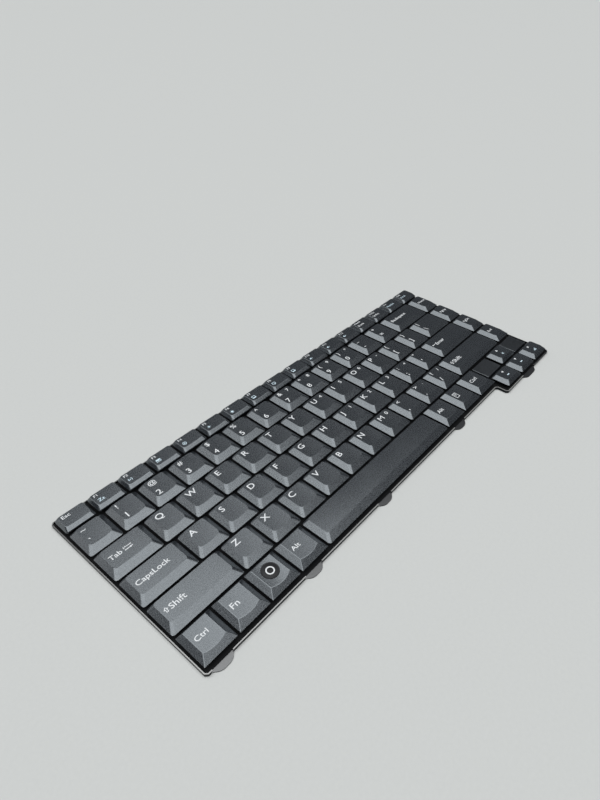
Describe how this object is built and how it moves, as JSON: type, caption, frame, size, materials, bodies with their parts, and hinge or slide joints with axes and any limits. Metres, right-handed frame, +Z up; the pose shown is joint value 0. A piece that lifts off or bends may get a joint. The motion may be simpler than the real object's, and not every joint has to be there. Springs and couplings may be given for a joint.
{
  "type": "laptop keyboard module",
  "caption": "Slim laptop keyboard module: tapered scissor keys with dished tops on a stamped plate with a raised lip and flat fixing tabs along its front edge.",
  "frame": {"origin": "on the underside of the plate, under the middle of the outline", "axes": "+X to the right along the key rows, +Y from the front edge to the back row, +Z up out of the key tops"},
  "size_m": [0.2998, 0.1186, 0.0055],
  "materials": {
    "keycap_plastic": "fine-textured charcoal plastic",
    "panel_plastic": "fine-textured charcoal plastic",
    "plate_steel": "black coated sheet steel",
    "membrane_film": "black polyester film",
    "dome_rubber": "matt dark silicone rubber",
    "lever_plastic": "moulded black acetal",
    "bar_steel": "drawn spring steel wire"
  },
  "bodies": {
    "frame": {"base_plate": "plate_steel", "membrane": "membrane_film", "rubber_domes": "dome_rubber", "scissor_levers": "lever_plastic", "stabiliser_bars": "bar_steel", "blank_panels": "panel_plastic", "function_keys": "keycap_plastic", "number_keys": "keycap_plastic", "navigation_keys": "keycap_plastic"},
    "q_key": {"q_key": "keycap_plastic"},
    "w_key": {"w_key": "keycap_plastic"},
    "e_key": {"e_key": "keycap_plastic"},
    "r_key": {"r_key": "keycap_plastic"},
    "t_key": {"t_key": "keycap_plastic"},
    "y_key": {"y_key": "keycap_plastic"},
    "u_key": {"u_key": "keycap_plastic"},
    "i_key": {"i_key": "keycap_plastic"},
    "o_key": {"o_key": "keycap_plastic"},
    "p_key": {"p_key": "keycap_plastic"},
    "a_key": {"a_key": "keycap_plastic"},
    "s_key": {"s_key": "keycap_plastic"},
    "d_key": {"d_key": "keycap_plastic"},
    "f_key": {"f_key": "keycap_plastic"},
    "g_key": {"g_key": "keycap_plastic"},
    "h_key": {"h_key": "keycap_plastic"},
    "j_key": {"j_key": "keycap_plastic"},
    "k_key": {"k_key": "keycap_plastic"},
    "l_key": {"l_key": "keycap_plastic"},
    "z_key": {"z_key": "keycap_plastic"},
    "x_key": {"x_key": "keycap_plastic"},
    "c_key": {"c_key": "keycap_plastic"},
    "v_key": {"v_key": "keycap_plastic"},
    "b_key": {"b_key": "keycap_plastic"},
    "n_key": {"n_key": "keycap_plastic"},
    "m_key": {"m_key": "keycap_plastic"},
    "left_bracket_key": {"left_bracket_key": "keycap_plastic"},
    "right_bracket_key": {"right_bracket_key": "keycap_plastic"},
    "semicolon_key": {"semicolon_key": "keycap_plastic"},
    "quote_key": {"quote_key": "keycap_plastic"},
    "comma_key": {"comma_key": "keycap_plastic"},
    "period_key": {"period_key": "keycap_plastic"},
    "slash_key": {"slash_key": "keycap_plastic"},
    "tab_key": {"tab_key": "keycap_plastic"},
    "backslash_key": {"backslash_key": "keycap_plastic"},
    "caps_lock_key": {"caps_lock_key": "keycap_plastic"},
    "enter_key": {"enter_key": "keycap_plastic"},
    "left_shift_key": {"left_shift_key": "keycap_plastic"},
    "right_shift_key": {"right_shift_key": "keycap_plastic"},
    "left_ctrl_key": {"left_ctrl_key": "keycap_plastic"},
    "fn_key": {"fn_key": "keycap_plastic"},
    "system_key": {"system_key": "keycap_plastic"},
    "left_alt_key": {"left_alt_key": "keycap_plastic"},
    "space_bar": {"space_bar": "keycap_plastic"},
    "right_alt_key": {"right_alt_key": "keycap_plastic"},
    "menu_key": {"menu_key": "keycap_plastic"},
    "right_ctrl_key": {"right_ctrl_key": "keycap_plastic"},
    "up_arrow_key": {"up_arrow_key": "keycap_plastic"},
    "left_arrow_key": {"left_arrow_key": "keycap_plastic"},
    "down_arrow_key": {"down_arrow_key": "keycap_plastic"},
    "right_arrow_key": {"right_arrow_key": "keycap_plastic"}
  },
  "joints": [
    {"name": "q_key_press", "type": "slide", "parent": "frame", "child": "q_key", "axis": [0, 0, -1], "range_m": [0, 0.0025], "stiffness_N_per_m": 240, "deforming": ["rubber_domes", "scissor_levers"]},
    {"name": "w_key_press", "type": "slide", "parent": "frame", "child": "w_key", "axis": [0, 0, -1], "range_m": [0, 0.0025], "stiffness_N_per_m": 240, "deforming": ["rubber_domes", "scissor_levers"]},
    {"name": "e_key_press", "type": "slide", "parent": "frame", "child": "e_key", "axis": [0, 0, -1], "range_m": [0, 0.0025], "stiffness_N_per_m": 240, "deforming": ["rubber_domes", "scissor_levers"]},
    {"name": "r_key_press", "type": "slide", "parent": "frame", "child": "r_key", "axis": [0, 0, -1], "range_m": [0, 0.0025], "stiffness_N_per_m": 240, "deforming": ["rubber_domes", "scissor_levers"]},
    {"name": "t_key_press", "type": "slide", "parent": "frame", "child": "t_key", "axis": [0, 0, -1], "range_m": [0, 0.0025], "stiffness_N_per_m": 240, "deforming": ["rubber_domes", "scissor_levers"]},
    {"name": "y_key_press", "type": "slide", "parent": "frame", "child": "y_key", "axis": [0, 0, -1], "range_m": [0, 0.0025], "stiffness_N_per_m": 240, "deforming": ["rubber_domes", "scissor_levers"]},
    {"name": "u_key_press", "type": "slide", "parent": "frame", "child": "u_key", "axis": [0, 0, -1], "range_m": [0, 0.0025], "stiffness_N_per_m": 240, "deforming": ["rubber_domes", "scissor_levers"]},
    {"name": "i_key_press", "type": "slide", "parent": "frame", "child": "i_key", "axis": [0, 0, -1], "range_m": [0, 0.0025], "stiffness_N_per_m": 240, "deforming": ["rubber_domes", "scissor_levers"]},
    {"name": "o_key_press", "type": "slide", "parent": "frame", "child": "o_key", "axis": [0, 0, -1], "range_m": [0, 0.0025], "stiffness_N_per_m": 240, "deforming": ["rubber_domes", "scissor_levers"]},
    {"name": "p_key_press", "type": "slide", "parent": "frame", "child": "p_key", "axis": [0, 0, -1], "range_m": [0, 0.0025], "stiffness_N_per_m": 240, "deforming": ["rubber_domes", "scissor_levers"]},
    {"name": "a_key_press", "type": "slide", "parent": "frame", "child": "a_key", "axis": [0, 0, -1], "range_m": [0, 0.0025], "stiffness_N_per_m": 240, "deforming": ["rubber_domes", "scissor_levers"]},
    {"name": "s_key_press", "type": "slide", "parent": "frame", "child": "s_key", "axis": [0, 0, -1], "range_m": [0, 0.0025], "stiffness_N_per_m": 240, "deforming": ["rubber_domes", "scissor_levers"]},
    {"name": "d_key_press", "type": "slide", "parent": "frame", "child": "d_key", "axis": [0, 0, -1], "range_m": [0, 0.0025], "stiffness_N_per_m": 240, "deforming": ["rubber_domes", "scissor_levers"]},
    {"name": "f_key_press", "type": "slide", "parent": "frame", "child": "f_key", "axis": [0, 0, -1], "range_m": [0, 0.0025], "stiffness_N_per_m": 240, "deforming": ["rubber_domes", "scissor_levers"]},
    {"name": "g_key_press", "type": "slide", "parent": "frame", "child": "g_key", "axis": [0, 0, -1], "range_m": [0, 0.0025], "stiffness_N_per_m": 240, "deforming": ["rubber_domes", "scissor_levers"]},
    {"name": "h_key_press", "type": "slide", "parent": "frame", "child": "h_key", "axis": [0, 0, -1], "range_m": [0, 0.0025], "stiffness_N_per_m": 240, "deforming": ["rubber_domes", "scissor_levers"]},
    {"name": "j_key_press", "type": "slide", "parent": "frame", "child": "j_key", "axis": [0, 0, -1], "range_m": [0, 0.0025], "stiffness_N_per_m": 240, "deforming": ["rubber_domes", "scissor_levers"]},
    {"name": "k_key_press", "type": "slide", "parent": "frame", "child": "k_key", "axis": [0, 0, -1], "range_m": [0, 0.0025], "stiffness_N_per_m": 240, "deforming": ["rubber_domes", "scissor_levers"]},
    {"name": "l_key_press", "type": "slide", "parent": "frame", "child": "l_key", "axis": [0, 0, -1], "range_m": [0, 0.0025], "stiffness_N_per_m": 240, "deforming": ["rubber_domes", "scissor_levers"]},
    {"name": "z_key_press", "type": "slide", "parent": "frame", "child": "z_key", "axis": [0, 0, -1], "range_m": [0, 0.0025], "stiffness_N_per_m": 240, "deforming": ["rubber_domes", "scissor_levers"]},
    {"name": "x_key_press", "type": "slide", "parent": "frame", "child": "x_key", "axis": [0, 0, -1], "range_m": [0, 0.0025], "stiffness_N_per_m": 240, "deforming": ["rubber_domes", "scissor_levers"]},
    {"name": "c_key_press", "type": "slide", "parent": "frame", "child": "c_key", "axis": [0, 0, -1], "range_m": [0, 0.0025], "stiffness_N_per_m": 240, "deforming": ["rubber_domes", "scissor_levers"]},
    {"name": "v_key_press", "type": "slide", "parent": "frame", "child": "v_key", "axis": [0, 0, -1], "range_m": [0, 0.0025], "stiffness_N_per_m": 240, "deforming": ["rubber_domes", "scissor_levers"]},
    {"name": "b_key_press", "type": "slide", "parent": "frame", "child": "b_key", "axis": [0, 0, -1], "range_m": [0, 0.0025], "stiffness_N_per_m": 240, "deforming": ["rubber_domes", "scissor_levers"]},
    {"name": "n_key_press", "type": "slide", "parent": "frame", "child": "n_key", "axis": [0, 0, -1], "range_m": [0, 0.0025], "stiffness_N_per_m": 240, "deforming": ["rubber_domes", "scissor_levers"]},
    {"name": "m_key_press", "type": "slide", "parent": "frame", "child": "m_key", "axis": [0, 0, -1], "range_m": [0, 0.0025], "stiffness_N_per_m": 240, "deforming": ["rubber_domes", "scissor_levers"]},
    {"name": "left_bracket_key_press", "type": "slide", "parent": "frame", "child": "left_bracket_key", "axis": [0, 0, -1], "range_m": [0, 0.0025], "stiffness_N_per_m": 240, "deforming": ["rubber_domes", "scissor_levers"]},
    {"name": "right_bracket_key_press", "type": "slide", "parent": "frame", "child": "right_bracket_key", "axis": [0, 0, -1], "range_m": [0, 0.0025], "stiffness_N_per_m": 240, "deforming": ["rubber_domes", "scissor_levers"]},
    {"name": "semicolon_key_press", "type": "slide", "parent": "frame", "child": "semicolon_key", "axis": [0, 0, -1], "range_m": [0, 0.0025], "stiffness_N_per_m": 240, "deforming": ["rubber_domes", "scissor_levers"]},
    {"name": "quote_key_press", "type": "slide", "parent": "frame", "child": "quote_key", "axis": [0, 0, -1], "range_m": [0, 0.0025], "stiffness_N_per_m": 240, "deforming": ["rubber_domes", "scissor_levers"]},
    {"name": "comma_key_press", "type": "slide", "parent": "frame", "child": "comma_key", "axis": [0, 0, -1], "range_m": [0, 0.0025], "stiffness_N_per_m": 240, "deforming": ["rubber_domes", "scissor_levers"]},
    {"name": "period_key_press", "type": "slide", "parent": "frame", "child": "period_key", "axis": [0, 0, -1], "range_m": [0, 0.0025], "stiffness_N_per_m": 240, "deforming": ["rubber_domes", "scissor_levers"]},
    {"name": "slash_key_press", "type": "slide", "parent": "frame", "child": "slash_key", "axis": [0, 0, -1], "range_m": [0, 0.0025], "stiffness_N_per_m": 240, "deforming": ["rubber_domes", "scissor_levers"]},
    {"name": "tab_key_press", "type": "slide", "parent": "frame", "child": "tab_key", "axis": [0, 0, -1], "range_m": [0, 0.0025], "stiffness_N_per_m": 240, "deforming": ["rubber_domes", "scissor_levers"]},
    {"name": "backslash_key_press", "type": "slide", "parent": "frame", "child": "backslash_key", "axis": [0, 0, -1], "range_m": [0, 0.0025], "stiffness_N_per_m": 240, "deforming": ["rubber_domes", "scissor_levers"]},
    {"name": "caps_lock_key_press", "type": "slide", "parent": "frame", "child": "caps_lock_key", "axis": [0, 0, -1], "range_m": [0, 0.0025], "stiffness_N_per_m": 240, "deforming": ["rubber_domes", "scissor_levers"]},
    {"name": "enter_key_press", "type": "slide", "parent": "frame", "child": "enter_key", "axis": [0, 0, -1], "range_m": [0, 0.0025], "stiffness_N_per_m": 240, "deforming": ["rubber_domes", "scissor_levers", "stabiliser_bars"]},
    {"name": "left_shift_key_press", "type": "slide", "parent": "frame", "child": "left_shift_key", "axis": [0, 0, -1], "range_m": [0, 0.0025], "stiffness_N_per_m": 240, "deforming": ["rubber_domes", "scissor_levers", "stabiliser_bars"]},
    {"name": "right_shift_key_press", "type": "slide", "parent": "frame", "child": "right_shift_key", "axis": [0, 0, -1], "range_m": [0, 0.0025], "stiffness_N_per_m": 240, "deforming": ["rubber_domes", "scissor_levers", "stabiliser_bars"]},
    {"name": "left_ctrl_key_press", "type": "slide", "parent": "frame", "child": "left_ctrl_key", "axis": [0, 0, -1], "range_m": [0, 0.0025], "stiffness_N_per_m": 240, "deforming": ["rubber_domes", "scissor_levers"]},
    {"name": "fn_key_press", "type": "slide", "parent": "frame", "child": "fn_key", "axis": [0, 0, -1], "range_m": [0, 0.0025], "stiffness_N_per_m": 240, "deforming": ["rubber_domes", "scissor_levers"]},
    {"name": "system_key_press", "type": "slide", "parent": "frame", "child": "system_key", "axis": [0, 0, -1], "range_m": [0, 0.0025], "stiffness_N_per_m": 240, "deforming": ["rubber_domes", "scissor_levers"]},
    {"name": "left_alt_key_press", "type": "slide", "parent": "frame", "child": "left_alt_key", "axis": [0, 0, -1], "range_m": [0, 0.0025], "stiffness_N_per_m": 240, "deforming": ["rubber_domes", "scissor_levers"]},
    {"name": "space_bar_press", "type": "slide", "parent": "frame", "child": "space_bar", "axis": [0, 0, -1], "range_m": [0, 0.0025], "stiffness_N_per_m": 240, "deforming": ["rubber_domes", "scissor_levers", "stabiliser_bars"]},
    {"name": "right_alt_key_press", "type": "slide", "parent": "frame", "child": "right_alt_key", "axis": [0, 0, -1], "range_m": [0, 0.0025], "stiffness_N_per_m": 240, "deforming": ["rubber_domes", "scissor_levers"]},
    {"name": "menu_key_press", "type": "slide", "parent": "frame", "child": "menu_key", "axis": [0, 0, -1], "range_m": [0, 0.0025], "stiffness_N_per_m": 240, "deforming": ["rubber_domes", "scissor_levers"]},
    {"name": "right_ctrl_key_press", "type": "slide", "parent": "frame", "child": "right_ctrl_key", "axis": [0, 0, -1], "range_m": [0, 0.0025], "stiffness_N_per_m": 240, "deforming": ["rubber_domes", "scissor_levers"]},
    {"name": "up_arrow_key_press", "type": "slide", "parent": "frame", "child": "up_arrow_key", "axis": [0, 0, -1], "range_m": [0, 0.0025], "stiffness_N_per_m": 240, "deforming": ["rubber_domes", "scissor_levers"]},
    {"name": "left_arrow_key_press", "type": "slide", "parent": "frame", "child": "left_arrow_key", "axis": [0, 0, -1], "range_m": [0, 0.0025], "stiffness_N_per_m": 240, "deforming": ["rubber_domes", "scissor_levers"]},
    {"name": "down_arrow_key_press", "type": "slide", "parent": "frame", "child": "down_arrow_key", "axis": [0, 0, -1], "range_m": [0, 0.0025], "stiffness_N_per_m": 240, "deforming": ["rubber_domes", "scissor_levers"]},
    {"name": "right_arrow_key_press", "type": "slide", "parent": "frame", "child": "right_arrow_key", "axis": [0, 0, -1], "range_m": [0, 0.0025], "stiffness_N_per_m": 240, "deforming": ["rubber_domes", "scissor_levers"]}
  ]
}
